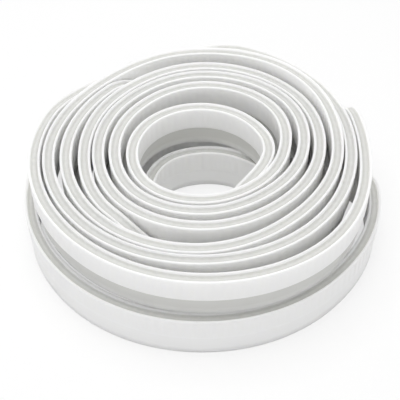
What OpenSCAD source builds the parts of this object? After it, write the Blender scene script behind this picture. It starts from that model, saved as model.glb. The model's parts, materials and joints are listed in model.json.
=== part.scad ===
// Pool vacuum hose, wound for storage: a ribbed flat hose on edge in two stacked layers,
// with a plain cuff on one end and a swivel cuff on the other.
// Millimetres, +Z up. The origin is on the floor, at the middle of the whole part's outline.

/* [Hose] */
// Height of the hose, which lies on edge
hose_height = 45; // [38:0.5:50]
// Thickness over the edge beads
hose_t = 11.6; // [9:0.1:12]
// How much narrower the smooth edge band is than the ribbed one
band_step = 2.2; // [0:0.1:4]
// Height of the smooth band, from its edge of the hose
band_height = 21.5; // [15:0.5:26]
// Wall of the hose
hose_wall = 2; // [1.2:0.1:2.6]
// Outside diameter of the hose's round ends
round_d = 36; // [33:0.5:37]

/* [Coil] */
// Radius of the climb between the layers, the innermost stretch of the coil
climb_r = 50.2; // [46:0.2:60]
// Gap between the two layers
layer_gap = 0.6; // [0.5:0.1:3]
// How far the sixth upper turn rides up behind the coil's right side
ride_up = 9; // [0:0.5:12]
// How far the seventh upper turn sags behind the coil, past the lower layer
sag = 14; // [0:0.5:18]
// How far the outermost lower turn is drawn in on the right
draw_in = 14.5; // [12:0.5:15]

/* [Cuffs] */
// Bore of both cuffs, for a 1-1/2 in fitting
cuff_bore = 38.1; // [37:0.1:39]
// Wall of both cuffs round the bore
cuff_wall = 2.95; // [2.5:0.05:4]
// Length of the socket in front of the hose, on both cuffs
socket_l = 58; // [48:1:70]
// Length of hose that each cuff grips
grip_l = 22; // [16:1:24]
// Number of grip ridges round each cuff
ridges = 20; // [8:1:28]
// Radial clearance of the swivel's bearing
bearing_gap = 0.05; // [0.02:0.01:0.1]
// Length of the swivel's bearing
bearing_l = 24; // [18:1:30]

/* [Hidden] */

// Winding angle 0 points to the right, and grows anticlockwise from above. The lower layer
// runs inward up to angle 0, and the upper layer runs outward from there.
rings_a_turn = 24;
ring_step = 360 / rings_a_turn;
lower_rings = 108;
upper_rings = 169;

// How far the hose lies out from the climb, in thicknesses of hose, every 45 degrees
node_step = 45;
first_node = -1665;
wound = [9.64, 9.77, 9.51, 9.38, 9.64,
         10.02, 8.69, 9, 8.05, 6.1, 4.05, 3.9, 4.24,
         4.59, 4.72, 4.98, 4.64, 3.95, 2.91, 2.78, 3.17,
         3.41, 3.09, 2.91, 2.65, 2.22, 1.78, 1.7, 2.05,
         2.26, 0.76, 0, 0, 0, 0, 0, 0.04,
         1.12, 1.12, 1.14, 1.19, 1.18, 1.28, 1.13, 1.32,
         2.33, 3.88, 4.1, 3.2, 2.6, 2.53, 2.32, 2.53,
         3.84, 5.41, 5.59, 4.64, 3.92, 3.94, 3.88, 4.09,
         5.2, 6.52, 6.81, 5.73, 5.03, 5.23, 4.98, 5.33,
         5.84, 6.79, 7.89, 6.82, 6.49, 6.33, 6.1, 5.76,
         6.65, 7.88, 8.97, 7.97, 7.87, 7.5, 7.19, 7.35,
         7.73, 9.05, 10.15, 9.25, 9.03, 8.78, 8.9, 9.21,
         8.85, 10.28, 11.53];

// Stretches that leave their layer: winding angle at the start, length of the way there,
// winding angle at the end and length of the way back
climb_from = -120;
climb_over = 122;
sunk = [1305, 50, 1575, 45];
riding = [1790, 50, 1895, 50];
sagging = [2234, 30, 2322, 38];
drawn_in = [-1441, 20, -1374, 40];

rise = hose_height + layer_gap;
round_r = round_d / 2;
bore_r = round_r - hose_wall;
facets = 72;
fit_gap = 0.2;
grip_r = round_r + fit_gap;
socket_r = cuff_bore / 2;
cuff_r = max(socket_r, grip_r) + cuff_wall;
axis_z = cuff_r + 0.5;

function ease(x) = x <= 0 ? 0 : x >= 1 ? 1 : x * x * (3 - 2 * x);
function total(v, i = 0) = i < len(v) ? v[i] + total(v, i + 1) : 0;
function unit(v) = v / norm(v);
function spline(p, i, t) =
    (2 * p[i] + (p[i + 1] - p[i - 1]) * t + (2 * p[i - 1] - 5 * p[i] + 4 * p[i + 1] - p[i + 2]) * t * t
     + (3 * p[i] - p[i - 1] - 3 * p[i + 1] + p[i + 2]) * t * t * t) / 2;

// Share of the way out of its layer, from 0 to 1
function away(a, way) = ease((a - way[0]) / way[1]) * ease((way[2] - a) / way[3]);
function coil_out(a) = let (x = (a - first_node) / node_step) spline(wound, floor(x), x - floor(x));
function coil_r(a) = climb_r + hose_t * coil_out(a) - draw_in * away(a, drawn_in);
function coil_z(a) = hose_height / 2 + rise * (ease((a - climb_from) / climb_over) - away(a, sunk))
    + ride_up * away(a, riding) - sag * away(a, sagging);
function polar(r, a, z) = [r * cos(a), r * sin(a), z];
function coil_at(a) = polar(coil_r(a), a, coil_z(a));

coil_rings = lower_rings + upper_rings;
coil_path = [for (i = [-lower_rings : upper_rings]) coil_at(i * ring_step)];

// Section of the flat hose, as [across, up from the middle]
function flat_corners(inset) =
    let (top = hose_height / 2 - inset, low = band_height - hose_height / 2, wide = hose_t / 2 - inset,
         slim = (hose_t - band_step) / 2 - inset)
    [[-slim, -top], [slim, -top], [wide, low], [wide, top], [-wide, top], [-wide, low]];
function flat_section(inset) =
    let (c = flat_corners(inset))
    [for (i = [0 : 5]) each [c[i], (c[i] + c[(i + 1) % 6]) / 2]];
// The round section, with as many points
section_n = 12;
function round_section(r) =
    [for (i = [0 : section_n - 1]) let (t = 360 * (i / section_n - 1 / 3)) r * [cos(t), sin(t)]];
function mixed_section(inset, r, k) =
    (1 - k) * flat_section(inset) + k * round_section(r);

// A ring of points round the path, with the hose upright
function heading(path, i) =
    let (d = path[min(i + 1, len(path) - 1)] - path[max(i - 1, 0)]) unit([d.x, d.y]);
function ring(at, dir, section) =
    [for (s = section) [at.x - dir.y * s.x, at.y + dir.x * s.x, at.z + s.y]];

module hose(rings_out, rings_in) {
    n = len(rings_out[0]);
    last = len(rings_out) - 1;
    m = n * (last + 1);
    skin = [for (i = [0 : last - 1]) for (j = [0 : n - 1])
        let (k = (j + 1) % n, a = i * n + j, b = i * n + k, c = a + n, d = b + n)
        each [[a, b, d], [a, d, c]]];
    bore = [for (f = skin) [f[0] + m, f[2] + m, f[1] + m]];
    rims = [for (j = [0 : n - 1])
        let (k = (j + 1) % n, e = last * n)
        each [[j, j + m, k + m], [j, k + m, k], [j + e, k + m + e, j + m + e], [j + e, k + e, k + m + e]]];
    polyhedron(concat([for (r = rings_out) each r], [for (r = rings_in) each r]),
               [for (f = concat(skin, bore, rims)) [f[0], f[2], f[1]]]);
}

// Free ends: the hose leaves the coil, comes down behind it and rounds out into its cuff
edge_r = climb_r + 9.9 * hose_t;
swivel_dir = polar(1, 156, 0);
plain_dir = polar(1, 45, 0);
swivel_at = polar(edge_r + 9 + cuff_r, 74, axis_z);
plain_at = polar(edge_r + 1 + cuff_r, 126, axis_z);
swivel_points = [polar(edge_r - 4.6, 24, hose_height * 1.45), polar(edge_r - 2, 31, hose_height * 1.08),
                 polar(edge_r + 6, 45, hose_height * 0.68)];
plain_points = [polar(edge_r + 4, 164, hose_height / 2), polar(edge_r + 13, 150, hose_height / 2)];
straight_l = round_d;
lead_l = 50;
end_steps = 4;

function along(at, dir, x) = at + dir * x;
function end_route(before, from, mid, at, dir) =
    concat([before, from], mid, [for (x = [-lead_l, -straight_l, 0]) along(at, dir, x)]);
function end_path(p) =
    concat([for (i = [1 : len(p) - 3]) for (k = [0 : end_steps - 1]) spline(p, i, k / end_steps)],
           [p[len(p) - 2], p[len(p) - 1]]);

plain_path = end_path(end_route(coil_path[1], coil_path[0], plain_points, plain_at, plain_dir));
swivel_path = end_path(end_route(coil_path[coil_rings - 1], coil_path[coil_rings], swivel_points,
                                 swivel_at, swivel_dir));

// The whole outline in plan, so that the part is centred on the origin
reach = [for (path = [coil_path, plain_path]) for (i = [0 : len(path) - 1])
    let (d = heading(path, i)) [for (s = [-1, 1]) path[i] + s * hose_t / 2 * [-d.y, d.x, 0]]];
reach_all = [for (r = reach) each r];
mouth_back = max([for (e = [[swivel_at, swivel_dir], [plain_at, plain_dir]])
    along(e[0], e[1], socket_l).y + cuff_r * abs(e[1].x)]);
middle = [(max([for (p = reach_all) p.x]) + min([for (p = reach_all) p.x])) / 2,
          (mouth_back + min([for (p = reach_all) p.y])) / 2];

// Least clear gap between the turns: from each ring square to the stretches of the turns beside it
function flat(v) = [v.x, v.y];
function to_stretch(p, a, b) =
    let (k = max(0, min(1, ((p - a) * (b - a)) / ((b - a) * (b - a))))) norm(p - a - k * (b - a));
turn_gap = min([for (i = [0 : coil_rings]) for (j = [i + 5 : 1 : coil_rings - 1])
    if (abs(coil_path[i].z - coil_path[j].z) < hose_height)
        to_stretch(flat(coil_path[i]), flat(coil_path[j]), flat(coil_path[j + 1]))]) - hose_t;
echo(least_gap_between_turns = turn_gap, gap_between_layers = layer_gap);
function path_length(p) = total([for (i = [1 : len(p) - 1]) norm(p[i] - p[i - 1])]);
echo(hose_length = path_length(coil_path) + path_length(swivel_path) + path_length(plain_path));

module placed() { translate([-middle.x, -middle.y, 0]) children(); }
// A cuff's own frame: the hose ends at x = 0 and the mouth faces +x
module on_end(at, dir) {
    placed() translate(at) rotate([0, 0, atan2(dir.y, dir.x)]) rotate([0, 90, 0]) children();
}
module tube(from, to, r_in, r_out) {
    translate([0, 0, from]) difference() {
        cylinder(h = to - from, r = r_out, $fn = facets);
        translate([0, 0, -1]) cylinder(h = to - from + 2, r = r_in, $fn = facets);
    }
}

stop_l = 2;
ridge_w = 3;
ridge_up = 0.9;
neck_r = socket_r - 0.65;
neck_wall = 3.4;
neck_bore = neck_r - neck_wall;
washer_l = 1;
bearing_from = stop_l + washer_l + 0.2;
bearing_to = bearing_from + bearing_l;
ring_l = 2;
ring_from = bearing_to + 0.4;
groove_deep = 1.2;
neck_to = ring_from + ring_l + 1.5;
relief_to = neck_to + 0.5;
relief_r = socket_r + 0.6;
seal_from = bearing_from + bearing_l / 2;
seal_l = 2.4;
seal_deep = 1.8;
collar_l = 11;
collar_wall = 1.2;
mouth_band = 8;
ridge_gap = 2;

// Free stretch of hose, from the coil to a cuff, rounding out from a share of its length on
function end_rings(path, from_dir, to_dir, from_k, inset, r) =
    let (last = len(path) - 1)
    [for (i = [0 : last])
        ring(path[i], i == 0 ? from_dir : i >= last - 1 ? to_dir : heading(path, i),
             mixed_section(inset, r, ease((i / (last - 1) - from_k) / (1 - from_k))))];
module hose_end(path, from_dir, to_dir, from_k) {
    hose(end_rings(path, from_dir, to_dir, from_k, 0, round_r),
         end_rings(path, from_dir, to_dir, from_k, hose_wall, bore_r));
}

// Ridges along a cuff, for the hand
module ridge_ring(from, to) {
    for (i = [0 : ridges - 1])
        rotate([0, 0, 360 * i / ridges])
            translate([cuff_r - 2, -ridge_w / 2, from])
                cube([2, ridge_w, to - from]);
}
module cuff_body(from, to) {
    intersection() {
        union() {
            tube(from, to, bore_r, cuff_r - ridge_up);
            tube(to - mouth_band, to, bore_r, cuff_r);
            ridge_ring(from + ridge_gap, to - mouth_band - ridge_gap);
        }
        tube(from, to, 1, cuff_r);
    }
}

module coil() {
    color("whitesmoke") placed()
        hose([for (i = [0 : coil_rings]) ring(coil_path[i], heading(coil_path, i), flat_corners(0))],
             [for (i = [0 : coil_rings]) ring(coil_path[i], heading(coil_path, i), flat_corners(hose_wall))]);
}
module swivel_hose_end() {
    color("whitesmoke") placed()
        hose_end(swivel_path, heading(coil_path, coil_rings), swivel_dir, 0.45);
}
module plain_hose_end() {
    color("whitesmoke") placed() hose_end(plain_path, -heading(coil_path, 0), plain_dir, 0.2);
}

// Plain cuff: one moulding, bonded over the hose
module plain_cuff() {
    color("gainsboro") on_end(plain_at, plain_dir) difference() {
        union() {
            cuff_body(-grip_l, socket_l);
            tube(0.05, stop_l, bore_r, cuff_r - 2);
        }
        translate([0, 0, -grip_l - 1]) cylinder(h = grip_l + 1.05, r = grip_r, $fn = facets);
        translate([0, 0, stop_l]) cylinder(h = socket_l, r = socket_r, $fn = facets);
    }
}
// Soft collar behind a cuff, which keeps the hose from kinking
module collar() {
    rotate_extrude($fn = facets)
        polygon([[grip_r, -grip_l - 0.3], [grip_r, -grip_l - collar_l],
                 [grip_r + collar_wall, -grip_l - collar_l], [cuff_r - 1, -grip_l - 0.3]]);
}
module plain_collar() { color("silver") on_end(plain_at, plain_dir) collar(); }
module swivel_collar() { color("silver") on_end(swivel_at, swivel_dir) collar(); }

// Insert: bonded over the hose, with the neck that the swivel cuff turns on
module swivel_insert() {
    color("gainsboro") on_end(swivel_at, swivel_dir) rotate_extrude($fn = facets)
        polygon([[grip_r, -grip_l], [cuff_r - 0.5, -grip_l], [cuff_r - 0.5, stop_l], [neck_r, stop_l],
                 [neck_r, seal_from], [neck_r - seal_deep, seal_from],
                 [neck_r - seal_deep, seal_from + seal_l],
                 [neck_r, seal_from + seal_l], [neck_r, ring_from - 0.1],
                 [neck_r - groove_deep, ring_from - 0.1], [neck_r - groove_deep, ring_from + ring_l + 0.1],
                 [neck_r, ring_from + ring_l + 0.1], [neck_r, neck_to], [neck_bore, neck_to],
                 [neck_bore, 0.05], [grip_r, 0.05]]);
}
module swivel_cuff() {
    color("gainsboro") on_end(swivel_at, swivel_dir) difference() {
        cuff_body(bearing_from, socket_l);
        translate([0, 0, bearing_from - 1]) cylinder(h = socket_l, r = neck_r + bearing_gap, $fn = facets);
        translate([0, 0, bearing_to]) cylinder(h = relief_to - bearing_to, r = relief_r, $fn = facets);
        translate([0, 0, bearing_to]) cylinder(h = socket_l, r = socket_r, $fn = facets);
    }
}
module swivel_washer() {
    color("dimgray") on_end(swivel_at, swivel_dir)
        tube(stop_l + 0.1, stop_l + washer_l, neck_r + 0.1, cuff_r - 0.8);
}
module swivel_seal() {
    color("black") on_end(swivel_at, swivel_dir)
        tube(seal_from + 0.1, seal_from + seal_l - 0.1, neck_r - seal_deep + 0.05, neck_r - 0.02);
}
module swivel_ring() {
    color("silver") on_end(swivel_at, swivel_dir)
        tube(ring_from, ring_from + ring_l, neck_r - groove_deep + 0.05, relief_r - 0.15);
}

coil();
swivel_hose_end();
plain_hose_end();
plain_cuff();
plain_collar();
swivel_insert();
swivel_cuff();
swivel_washer();
swivel_seal();
swivel_ring();
swivel_collar();
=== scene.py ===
import json
import math
import bpy
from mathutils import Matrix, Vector

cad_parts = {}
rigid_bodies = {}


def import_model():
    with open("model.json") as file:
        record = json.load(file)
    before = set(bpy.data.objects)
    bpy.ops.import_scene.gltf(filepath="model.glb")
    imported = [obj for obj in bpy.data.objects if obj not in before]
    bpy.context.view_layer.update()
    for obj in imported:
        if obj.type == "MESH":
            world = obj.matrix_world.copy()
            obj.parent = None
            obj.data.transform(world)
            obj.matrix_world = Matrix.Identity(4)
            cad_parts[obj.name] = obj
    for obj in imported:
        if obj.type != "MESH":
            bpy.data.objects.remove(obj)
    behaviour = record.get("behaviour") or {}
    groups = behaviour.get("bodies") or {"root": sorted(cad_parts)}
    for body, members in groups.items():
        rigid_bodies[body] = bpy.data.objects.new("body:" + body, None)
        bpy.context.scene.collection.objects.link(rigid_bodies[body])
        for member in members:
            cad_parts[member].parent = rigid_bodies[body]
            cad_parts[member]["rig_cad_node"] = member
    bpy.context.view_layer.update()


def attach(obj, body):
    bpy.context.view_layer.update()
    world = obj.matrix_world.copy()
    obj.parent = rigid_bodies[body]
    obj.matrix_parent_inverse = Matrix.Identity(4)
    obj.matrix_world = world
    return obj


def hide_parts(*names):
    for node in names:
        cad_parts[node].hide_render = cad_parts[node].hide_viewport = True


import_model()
bpy.ops.object.select_all(action="DESELECT")

cameraSet = {
    "place": (-0.00113, -0.65176, 0.6540),  # metres
    "lookDown": 45.55,  # degrees below level
    "turn": 0.08,
    "lens": 80.9,
    "sensorWidth": 36,
    "clipStart": 0.01,  # metres
    "clipEnd": 30,
}
bpy.ops.object.camera_add(
    location=cameraSet["place"],
    rotation=(math.radians(90 - cameraSet["lookDown"]), 0, math.radians(cameraSet["turn"])),
)
camera = bpy.context.object
camera.name = "Camera"
camera.data.lens = cameraSet["lens"]
camera.data.sensor_width = cameraSet["sensorWidth"]
camera.data.clip_start = cameraSet["clipStart"]
camera.data.clip_end = cameraSet["clipEnd"]
bpy.context.scene.camera = camera
print("camera set")

# the hose's own sizes, in millimetres
hoseSet = {
    "height": 45.0,
    "thickness": 11.6,
    "roundDiameter": 36.0,
    "wall": 2.0,
    "bandHeight": 21.5,  # smooth band, below the ledge
    "bandTop": 21.4,  # the band's highest points lie below this
    "bandFoot": 0.5,  # and those of its sides above this
    "upperSlim": 0.5,  # how much thinner that band is in the upper layer
    "upperShade": 0.9,  # how much painted shade greys that band there, standing in for the shade of the trough
    "ribStep": 8.0,
    "ribDepth": 0.34,
    "roundRibShare": 1.4,  # depth of the ribs where the hose is round, against the flat hose's
    "ringsPerRib": 4,
    "boreShown": 60.0,  # how far the open bore goes back from a cuff
    "smoothAngle": 48,  # degrees
}
# the coil's route: winding angle 0 points right and grows anticlockwise from above, the lower
# layer runs inward up to 0 and the upper layer outward from there
coilSet = {
    "climbRadius": 50.2,
    "layerGap": 0.6,
    "rideUp": 9.0,  # how far the sixth upper turn rides up behind the right side
    "sag": 14.0,  # how far the seventh upper turn hangs down behind the coil
    "drawIn": 14.5,  # how far the outermost lower turn is drawn in on the right
    "start": -1620.0,
    "stop": 2535.0,
    "parting": -120.0,  # the two lengths of the model meet on the climb
    "climb": (-120.0, 122.0),  # winding angle at the start, length of the climb
    # winding angle at the start, length of the way there,
    # winding angle at the end, length of the way back
    "sunk": (1305, 50, 1575, 45),
    "riding": (1790, 50, 1895, 50),
    "sagging": (2234, 30, 2322, 38),
    "drawnIn": (-1441, 20, -1374, 40),
    "firstNode": -1665,
    "nodeStep": 45,
    "ringAngle": 15,  # from the last ring to the one before, which sets the way off the coil
    "upperSteps": 1900,
    "lowerSteps": 1300,
    # hose thicknesses out from the climb, every 45 degrees
    "wound": [
        9.64, 9.77, 9.51, 9.38, 9.64,
        10, 8.69, 9, 8.05, 6.1, 4.05, 3.9, 4.24,
        4.59, 4.72, 4.98, 4.64, 3.95, 2.91, 2.78, 3.17,
        3.41, 3.09, 2.91, 2.65, 2.22, 1.78, 1.7, 2.05,
        2.26, 0.76, 0, 0, 0, 0, 0, 0.04,
        1.12, 1.12, 1.14, 1.19, 1.18, 1.28, 1.13, 1.32,
        2.33, 3.88, 4.1, 3.2, 2.6, 2.53, 2.32, 2.53,
        3.84, 5.41, 5.59, 4.64, 3.92, 3.94, 3.88, 4.09,
        5.2, 6.52, 6.81, 5.73, 5.03, 5.23, 4.98, 5.33,
        5.84, 6.79, 7.89, 6.82, 6.49, 6.33, 6.1, 5.76,
        6.65, 7.88, 8.97, 7.97, 7.87, 7.5, 7.19, 7.35,
        7.73, 9.05, 10.15, 9.25, 9.03, 8.78, 8.9, 9.21,
        8.85, 10.28, 11.53,
    ],
    "middle": (1.12661, 33.6633),
}
# the two free ends: where each cuff is, and the hose's way there as radius, angle and height
endSet = {
    "swivelAt": (54.0359, 188.446, 22.5),
    "swivelDir": (-0.913545, 0.406737),
    "swivelPoints": [(160.44, 24, 65.25), (163.04, 31, 48.6), (171.04, 45, 30.6)],
    "swivelRoundFrom": 0.45,
    "plainAt": (-110.527, 152.128, 22.5),
    "plainDir": (0.707107, 0.707107),
    "plainPoints": [(169.04, 164, 22.5), (178.04, 150, 22.5)],
    "plainRoundFrom": 0.2,
    "straight": 36.0,
    "lead": 50.0,
    "spanSteps": 40,
    "straightSteps": 12,
}


def ease(x):
    x = min(1.0, max(0.0, x))
    return x * x * (3 - 2 * x)


# share of the way out of the layer, from 0 to 1
def away(a, way):
    return ease((a - way[0]) / way[1]) * ease((way[2] - a) / way[3])


def polar(r, a, z):
    t = math.radians(a)
    return (r * math.cos(t), r * math.sin(t), z)


def coilPoint(a):
    x = (a - coilSet["firstNode"]) / coilSet["nodeStep"]
    i = math.floor(x)
    out = splinePoint([(w,) for w in coilSet["wound"][i - 1:i + 3]], 1, x - i)[0]
    r = coilSet["climbRadius"] + hoseSet["thickness"] * out
    r -= coilSet["drawIn"] * away(a, coilSet["drawnIn"])
    climbed = ease((a - coilSet["climb"][0]) / coilSet["climb"][1]) - away(a, coilSet["sunk"])
    z = hoseSet["height"] / 2 + (hoseSet["height"] + coilSet["layerGap"]) * climbed
    z += coilSet["rideUp"] * away(a, coilSet["riding"]) - coilSet["sag"] * away(a, coilSet["sagging"])
    return polar(r, a, z)


def unit(v):
    n = math.sqrt(sum(x * x for x in v))
    return tuple(x / n for x in v)


def splinePoint(p, i, t):
    return tuple(
        (2 * p[i][k] + (p[i + 1][k] - p[i - 1][k]) * t
         + (2 * p[i - 1][k] - 5 * p[i][k] + 4 * p[i + 1][k] - p[i + 2][k]) * t * t
         + (3 * p[i][k] - p[i - 1][k] - 3 * p[i + 1][k] + p[i + 2][k]) * t ** 3) / 2
        for k in range(len(p[i]))
    )


# from the coil to a cuff, each point with how round the hose is there
def endRoute(before, first, between, at, direction, roundFrom):
    d = unit(direction)
    points = [before, first] + [polar(*p) for p in between] + [
        (at[0] + d[0] * x, at[1] + d[1] * x, at[2]) for x in (-endSet["lead"], -endSet["straight"], 0)]
    steps, spans, made = endSet["spanSteps"], len(points) - 3, []
    for i in range(1, len(points) - 2):
        for k in range(steps):
            share = (i - 1 + k / steps) / spans
            made.append((splinePoint(points, i, k / steps), ease((share - roundFrom) / (1 - roundFrom))))
    a, b = points[-2], points[-1]
    steps = endSet["straightSteps"]
    for k in range(steps + 1):
        made.append((tuple(a[j] + (b[j] - a[j]) * k / steps for j in range(3)), 1.0))
    return made


# points along the coil from one winding angle to another
def coilTrack(first, last, steps):
    return [(coilPoint(first + (last - first) * i / steps), 0.0) for i in range(steps + 1)]


start, stop, parting = coilSet["start"], coilSet["stop"], coilSet["parting"]
ringAngle = coilSet["ringAngle"]
upperTrack = coilTrack(parting, stop, coilSet["upperSteps"])
lowerTrack = coilTrack(parting, start, coilSet["lowerSteps"])
upperTrack += endRoute(coilPoint(stop - ringAngle), coilPoint(stop), endSet["swivelPoints"],
                       endSet["swivelAt"], endSet["swivelDir"], endSet["swivelRoundFrom"])[1:]
lowerTrack += endRoute(coilPoint(start + ringAngle), coilPoint(start), endSet["plainPoints"],
                       endSet["plainAt"], endSet["plainDir"], endSet["plainRoundFrom"])[1:]


# the track's points again, a step apart, with how far along they are and the plan heading
def evenly(track, step):
    far = [0.0]
    for a, b in zip(track, track[1:]):
        far.append(far[-1] + math.dist(a[0], b[0]))
    count = round(far[-1] / step)
    made, j = [], 0
    for i in range(count + 1):
        s = far[-1] * i / count
        while j < len(far) - 2 and far[j + 1] < s:
            j += 1
        k = (s - far[j]) / (far[j + 1] - far[j])
        a, b = track[j], track[j + 1]
        at = tuple(a[0][n] + (b[0][n] - a[0][n]) * k for n in range(3))
        made.append([at, a[1] + (b[1] - a[1]) * k, s])
    for i, m in enumerate(made):
        a, b = made[max(i - 1, 0)][0], made[min(i + 1, count)][0]
        m.append(unit((b[0] - a[0], b[1] - a[1])))
    return made


# across, up from the hose's bottom edge, share of the rib's depth, and painted shade: 0 for the
# solid beads, left lightest, 1 for the walls and 2 for the groove, painted darkest as shade
halfSection = [
    (0.0, 0.0, 0, 1.0), (2.4, 0.0, 0, 1.0), (4.1, 0.25, 0, 0.6), (4.7, 0.9, 0, 0.3),
    (4.7, 8.0, 0, 1.0), (4.7, 15.0, 0, 1.0), (4.7, 21.1, 0, 0.9), (5.3, 21.5, 0, 0.3),
    (5.4, 22.3, 0.3, 0.4), (5.25, 24.5, 1, 0.9), (5.2, 31.0, 1, 1.0), (5.25, 39.0, 1, 0.9),
    (5.3, 41.2, 0.6, 0.6), (5.1, 42.2, 0, 0.4), (5.6, 42.8, 0, 0.0), (5.7, 43.6, 0, 0.0),
    (5.6, 44.4, 0, 0.0), (5.05, 44.9, 0, 0.0), (4.4, 45.0, 0, 0.0), (3.75, 44.7, 0, 0.1),
    (3.35, 44.0, 0, 0.7), (3.1, 42.8, 0, 1.7), (2.3, 42.1, -0.5, 2.0), (1.1, 42.2, -0.8, 2.0),
]
topMiddle = (0.0, 42.5, -0.8, 1.9)


def sectionPoints():
    right = halfSection
    left = [(-x, z, rib, paintedShade) for x, z, rib, paintedShade in halfSection[1:]][::-1]
    return right + [topMiddle] + left


def hoseMesh(name, track):
    section = sectionPoints()
    half = hoseSet["height"] / 2
    perRib = hoseSet["ringsPerRib"]
    path = evenly(track, hoseSet["ribStep"] / perRib)
    turn = [math.atan2(z - half, x * hoseSet["height"] / hoseSet["thickness"]) for x, z, _, _ in section]
    radius = hoseSet["roundDiameter"] / 2
    mx, my = coilSet["middle"]
    points, paintedShades, girth = [], [], [0.0]
    for a, b in zip(section, section[1:] + section[:1]):
        girth.append(girth[-1] + math.dist(a[:2], b[:2]))

    def ring(i, inset):
        at, k, s, d = path[i]
        wave = math.cos(2 * math.pi * i / perRib)
        upper = ease((at[2] - half) / hoseSet["height"])
        for n, (x, z, rib, paintedShade) in enumerate(section):
            push = hoseSet["ribDepth"] * rib * wave * (inset == 0)
            side = (x > 0) - (x < 0)
            wide = abs(x) - inset * abs(x) / (hoseSet["thickness"] / 2)
            if z < hoseSet["bandTop"]:
                wide *= 1 - upper * hoseSet["upperSlim"]
            fx = side * (wide + max(push * (rib > 0), -wide))
            fz = (z - half) * (1 - inset / half) - push * (rib < 0)
            r = radius - inset + hoseSet["ribDepth"] * hoseSet["roundRibShare"] * (wave - 1) * (inset == 0)
            rx, rz = r * math.cos(turn[n]), r * math.sin(turn[n])
            px, pz = fx + (rx - fx) * k, fz + (rz - fz) * k
            place = (at[0] - mx - d[1] * px, at[1] - my + d[0] * px, at[2] + pz)
            points.append(tuple(c / 1000 for c in place))
            # painted shade: in the upper layer the smooth band below the ledge is greyed, for the shade that
            # falls there
            if hoseSet["bandFoot"] < z < hoseSet["bandTop"]:
                paintedShade += upper * hoseSet["upperShade"]
            paintedShades.append(paintedShade * (1 - k) + k if inset == 0 else 1.0)

    last = len(path) - 1
    rings = [(i, 0.0) for i in range(last + 1)]
    back = round(hoseSet["boreShown"] / path[-1][2] * last)
    rings += [(last - i, hoseSet["wall"]) for i in range(0, back, 2)]
    for i, inset in rings:
        ring(i, inset)
    n, faces = len(section), []
    for i in range(len(rings) - 1):
        for j in range(n):
            k = (j + 1) % n
            faces.append((i * n + j, (i + 1) * n + j, (i + 1) * n + k, i * n + k))
    faces.append(tuple(range(n)))
    faces.append(tuple(reversed(range((len(rings) - 1) * n, len(rings) * n))))
    mesh = bpy.data.meshes.new(name)
    mesh.from_pydata(points, [], faces)
    mesh.update()
    # the painted shade scale, kept on the points for the hose material's colour ramp
    shade = mesh.attributes.new("paintedShade", "FLOAT", "POINT")
    shade.data.foreach_set("value", [t / 2 for t in paintedShades])
    uv = mesh.uv_layers.new(name="alongHose")
    for face in mesh.polygons:
        for loop in face.loop_indices:
            v = mesh.loops[loop].vertex_index
            i, j = divmod(v, n)
            uv.data[loop].uv = (path[rings[i][0]][2] / 1000, girth[j] / 1000)
    hose = bpy.data.objects.new(name, mesh)
    bpy.context.collection.objects.link(hose)
    bpy.ops.object.select_all(action="DESELECT")
    hose.select_set(True)
    bpy.context.view_layer.objects.active = hose
    bpy.ops.object.mode_set(mode="EDIT")
    bpy.ops.mesh.select_all(action="SELECT")
    bpy.ops.mesh.normals_make_consistent(inside=False)
    bpy.ops.object.mode_set(mode="OBJECT")
    bpy.ops.object.shade_smooth_by_angle(angle=math.radians(hoseSet["smoothAngle"]))
    line = [((p[0][0] - mx) / 1000, (p[0][1] - my) / 1000, p[0][2] / 1000) for p in path]
    print(name, "made,", len(mesh.polygons), "faces,", round(path[-1][2]), "mm long")
    return hose, line, path[-1][2] / 1000


upperHose, upperLine, upperLength = hoseMesh("hose.upper", upperTrack)
lowerHose, lowerLine, lowerLength = hoseMesh("hose.lower", lowerTrack)
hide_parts("coil", "swivel_hose_end")
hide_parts("coil", "plain_hose_end")
for hose in (upperHose, lowerHose):
    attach(hose, "hose")

nodes = {o["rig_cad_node"]: o for o in bpy.data.objects if "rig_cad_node" in o}


# an sRGB hex colour, made linear
def colour(text):
    made = []
    for i in (0, 2, 4):
        c = int(text[i:i + 2], 16) / 255
        made.append(c / 12.92 if c <= 0.04045 else ((c + 0.055) / 1.055) ** 2.4)
    return (*made, 1.0)


def addNode(tree, kind, values=None, links=None, **settings):
    node = tree.nodes.new(kind)
    for key, value in settings.items():
        setattr(node, key, value)
    for key, value in (values or {}).items():
        node.inputs[key].default_value = value
    for key, source in (links or {}).items():
        tree.links.new(source, node.inputs[key])
    return node


def newMaterial(name):
    material = bpy.data.materials.new(name)
    material.use_nodes = True
    return material, material.node_tree, material.node_tree.nodes["Principled BSDF"]


# extruded EVA hose, soft matt white: light goes a little way in, which fills the narrow gaps, and
# the colour ramp paints shade: the groove's floor is painted grey and the beads are left near white
hoseFinishAndShade = {
    "bead": "FFFFFE",
    "wall": "FAFAF8",
    # painted shade for the groove's floor, greyer than the white EVA
    "grooveShade": "D2D2CF",
    "roughness": 0.45,
    "ior": 1.49,
    "glow": 0.8,  # share of the light that goes in
    "glowDepth": 0.01,
    "grainSize": 0.0009,
    "grainDetail": 3.0,
    "grainStrength": 0.15,
    "grainDepth": 0.0001,
}


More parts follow.
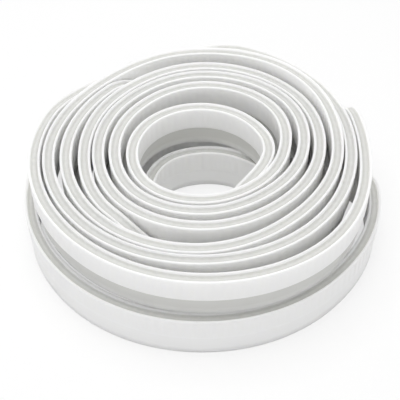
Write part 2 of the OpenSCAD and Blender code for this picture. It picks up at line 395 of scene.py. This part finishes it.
def evaHose():
    material, tree, shader = newMaterial("extrudedEvaHose")
    # the hose's colour follows the painted shade scale, from the white beads to the grey painted in the
    # groove
    paintedShade = addNode(tree, "ShaderNodeAttribute", attribute_name="paintedShade")
    blend = addNode(tree, "ShaderNodeValToRGB", {}, {"Fac": paintedShade.outputs["Fac"]})
    ramp = blend.color_ramp
    ramp.elements.new(0.5)
    for element, part in zip(ramp.elements, ("bead", "wall", "grooveShade")):
        element.color = colour(hoseFinishAndShade[part])
    place = addNode(tree, "ShaderNodeTexCoord")
    grain = addNode(tree, "ShaderNodeTexNoise", {"Scale": 1 / hoseFinishAndShade["grainSize"],
                    "Detail": hoseFinishAndShade["grainDetail"]}, {"Vector": place.outputs["Object"]})
    raised = addNode(tree, "ShaderNodeBump", {"Strength": hoseFinishAndShade["grainStrength"],
                     "Distance": hoseFinishAndShade["grainDepth"]}, {"Height": grain.outputs["Fac"]})
    tree.links.new(blend.outputs["Color"], shader.inputs["Base Color"])
    tree.links.new(raised.outputs["Normal"], shader.inputs["Normal"])
    shader.inputs["Roughness"].default_value = hoseFinishAndShade["roughness"]
    shader.inputs["IOR"].default_value = hoseFinishAndShade["ior"]
    shader.inputs["Subsurface Weight"].default_value = hoseFinishAndShade["glow"]
    shader.inputs["Subsurface Scale"].default_value = hoseFinishAndShade["glowDepth"]
    shader.inputs["Subsurface Radius"].default_value = (1.0, 1.0, 0.95)
    return material


hoseMaterial = evaHose()
for hose in (upperHose, lowerHose):
    hose.data.materials.append(hoseMaterial)

# the moulded and turned pieces: a fine moulding grain breaks up the highlight on each
finishes = {
    # EVA cuffs, a shade greyer and glossier than the hose
    "mouldedEvaCuff": {"colour": "ECECE9", "roughness": 0.36, "ior": 1.49, "grain": 0.0007, "depth": 0.00004,
                       "nodes": ("plain_cuff", "swivel_insert", "swivel_cuff")},
    # soft grey elastomer, dull, with a coarser grain
    "greyElastomer": {"colour": "A6A8AA", "roughness": 0.65, "ior": 1.5, "grain": 0.0012, "depth": 0.00008,
                      "nodes": ("plain_collar", "swivel_collar")},
    # turned acetal, smooth and slightly waxy
    "turnedAcetal": {"colour": "DFDFDB", "roughness": 0.28, "ior": 1.48, "grain": 0.0004, "depth": 0.00001,
                     "nodes": ("swivel_washer", "swivel_ring")},
    # black nitrile rubber, with the soft sheen of its grease
    "blackNitrile": {"colour": "161616", "roughness": 0.45, "ior": 1.52, "grain": 0.0005, "depth": 0.00002,
                     "nodes": ("swivel_seal",)},
}
# the same on every small piece: how far the grain takes the roughness down and up
grainSet = {"smoother": 0.05, "rougher": 0.08, "strength": 0.4, "detail": 2.0}


def pieceMaterial(name, finish):
    material, tree, shader = newMaterial(name)
    place = addNode(tree, "ShaderNodeTexCoord")
    grain = addNode(tree, "ShaderNodeTexNoise", {"Scale": 1 / finish["grain"], "Detail": grainSet["detail"]},
                    {"Vector": place.outputs["Object"]})
    rough = addNode(tree, "ShaderNodeMapRange", {"To Min": finish["roughness"] - grainSet["smoother"],
                    "To Max": finish["roughness"] + grainSet["rougher"]}, {"Value": grain.outputs["Fac"]})
    raised = addNode(tree, "ShaderNodeBump", {"Strength": grainSet["strength"], "Distance": finish["depth"]},
                     {"Height": grain.outputs["Fac"]})
    shader.inputs["Base Color"].default_value = colour(finish["colour"])
    shader.inputs["IOR"].default_value = finish["ior"]
    tree.links.new(rough.outputs["Result"], shader.inputs["Roughness"])
    tree.links.new(raised.outputs["Normal"], shader.inputs["Normal"])
    return material


for name, finish in finishes.items():
    made = pieceMaterial(name, finish)
    for node in finish["nodes"]:
        for slot in nodes[node].material_slots:
            slot.material = made
for node in ("coil", "swivel_hose_end", "plain_hose_end"):
    for slot in nodes[node].material_slots:
        slot.material = hoseMaterial
print("materials made")

stageSet = {
    "worldStrength": 0.76,
    "keyPower": 7.5,
    "keyPlace": (-0.15, 0.05, 1.35),
    "keySize": 1.0,
    "floorSize": 12,
    "floorColour": "F4F4F4",
    "floorRoughness": 0.9,
    "floorShadow": 0.35,  # how much of the shadow the camera sees
}
bpy.ops.mesh.primitive_plane_add(size=stageSet["floorSize"], location=(0, 0, 0))
floor = bpy.context.object
floor.name = "floor"

# matt white paint, which the camera, gloss and clear pieces see near white, with a soft shadow
floorMaterial, tree, shader = newMaterial("mattWhiteFloor")
shader.inputs["Base Color"].default_value = colour(stageSet["floorColour"])
shader.inputs["Roughness"].default_value = stageSet["floorRoughness"]
glow = addNode(tree, "ShaderNodeEmission", {"Color": (1, 1, 1, 1), "Strength": 1.0})
ray = addNode(tree, "ShaderNodeLightPath")
seen = addNode(tree, "ShaderNodeMath", {},
               {0: ray.outputs["Is Camera Ray"], 1: ray.outputs["Is Glossy Ray"]},
               operation="MAXIMUM")
seenAll = addNode(tree, "ShaderNodeMath", {}, {0: seen.outputs[0], 1: ray.outputs["Is Transmission Ray"]},
                  operation="MAXIMUM")
share = addNode(tree, "ShaderNodeMath", {1: 1 - stageSet["floorShadow"]}, {0: seenAll.outputs[0]},
                operation="MULTIPLY")
both = addNode(tree, "ShaderNodeMixShader", {},
               {0: share.outputs[0], 1: shader.outputs[0], 2: glow.outputs[0]})
tree.links.new(both.outputs[0], tree.nodes["Material Output"].inputs["Surface"])
floor.data.materials.append(floorMaterial)

world = bpy.data.worlds.new("World")
bpy.context.scene.world = world
world.use_nodes = True
tree = world.node_tree
light = tree.nodes["Background"]
light.inputs["Color"].default_value = (1, 1, 1, 1)
light.inputs["Strength"].default_value = stageSet["worldStrength"]
white = addNode(tree, "ShaderNodeBackground", {"Color": (1, 1, 1, 1), "Strength": 1.0})
ray = addNode(tree, "ShaderNodeLightPath")
seen = addNode(tree, "ShaderNodeMath", {},
               {0: ray.outputs["Is Camera Ray"], 1: ray.outputs["Is Transmission Ray"]},
               operation="MAXIMUM")
both = addNode(tree, "ShaderNodeMixShader", {},
               {0: seen.outputs[0], 1: light.outputs[0], 2: white.outputs[0]})
tree.links.new(both.outputs[0], tree.nodes["World Output"].inputs["Surface"])

bpy.ops.object.light_add(type="AREA", location=stageSet["keyPlace"])
key = bpy.context.object
key.name = "KeyLight"
key.data.shape = "DISK"
key.data.size = stageSet["keySize"]
key.data.energy = stageSet["keyPower"]
key.rotation_euler = (-Vector(stageSet["keyPlace"])).to_track_quat("-Z", "Y").to_euler()
print("floor and lights set")

bpy.context.scene.view_settings.view_transform = "Standard"
